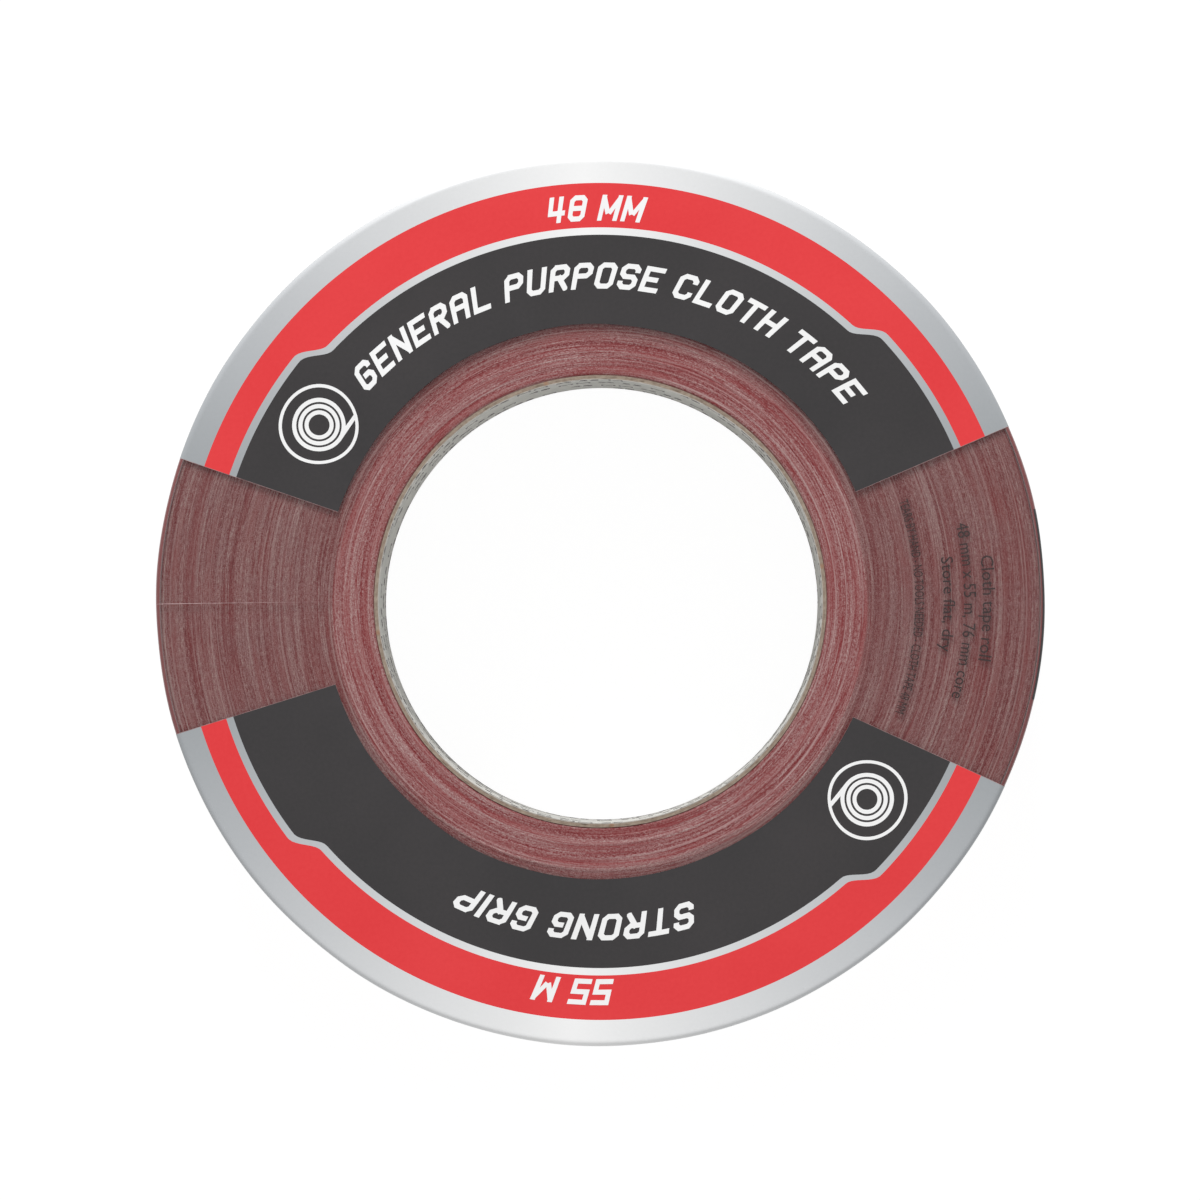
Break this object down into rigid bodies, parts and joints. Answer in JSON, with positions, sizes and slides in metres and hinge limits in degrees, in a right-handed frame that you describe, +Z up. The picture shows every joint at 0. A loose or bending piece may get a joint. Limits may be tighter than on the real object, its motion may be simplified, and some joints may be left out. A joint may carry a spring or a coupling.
{
  "type": "duct tape roll",
  "caption": "Full roll of red cloth duct tape on a paper core, in a clear shrink sleeve that folds over both faces and carries printed silver, red and black panels.",
  "frame": {"origin": "on the roll's axis, in the plane of the sleeve's lower face, which the roll rests on", "axes": "+Z up along the roll's axis; +Y towards the middle of the upper printed panel; +X towards the wider clear window, which holds the information panel"},
  "size_m": [0.1528, 0.1528, 0.0493],
  "materials": {
    "liner_paper": "matte",
    "kraft_paper": "matte",
    "tape_edge": "matte",
    "adhesive": "satin",
    "cloth": "matte",
    "tape_backing": "satin",
    "clear_film": "gloss",
    "silver_ink": "satin",
    "red_ink": "satin",
    "black_ink": "satin"
  },
  "bodies": {
    "root": {"core_inner_ply": "kraft_paper", "core_liner": "liner_paper", "core_outer_ply": "kraft_paper", "info_panel": "black_ink", "last_turn_adhesive": "adhesive", "last_turn_backing": "tape_backing", "last_turn_cloth": "cloth", "lower_back_black_field": "black_ink", "lower_back_red_band": "red_ink", "lower_back_silver_border": "silver_ink", "lower_back_silver_line": "silver_ink", "lower_back_wall_stripe": "red_ink", "lower_front_black_field": "black_ink", "lower_front_red_band": "red_ink", "lower_front_silver_border": "silver_ink", "lower_front_silver_line": "silver_ink", "lower_front_wall_stripe": "red_ink", "lower_wall_black_field": "black_ink", "sleeve_film": "clear_film", "tape_winding": "tape_edge", "upper_back_black_field": "black_ink", "upper_back_red_band": "red_ink", "upper_back_silver_border": "silver_ink", "upper_back_silver_line": "silver_ink", "upper_back_wall_stripe": "red_ink", "upper_front_black_field": "black_ink", "upper_front_red_band": "red_ink", "upper_front_silver_border": "silver_ink", "upper_front_silver_line": "silver_ink", "upper_front_wall_stripe": "red_ink", "upper_wall_black_field": "black_ink"}
  },
  "joints": []
}
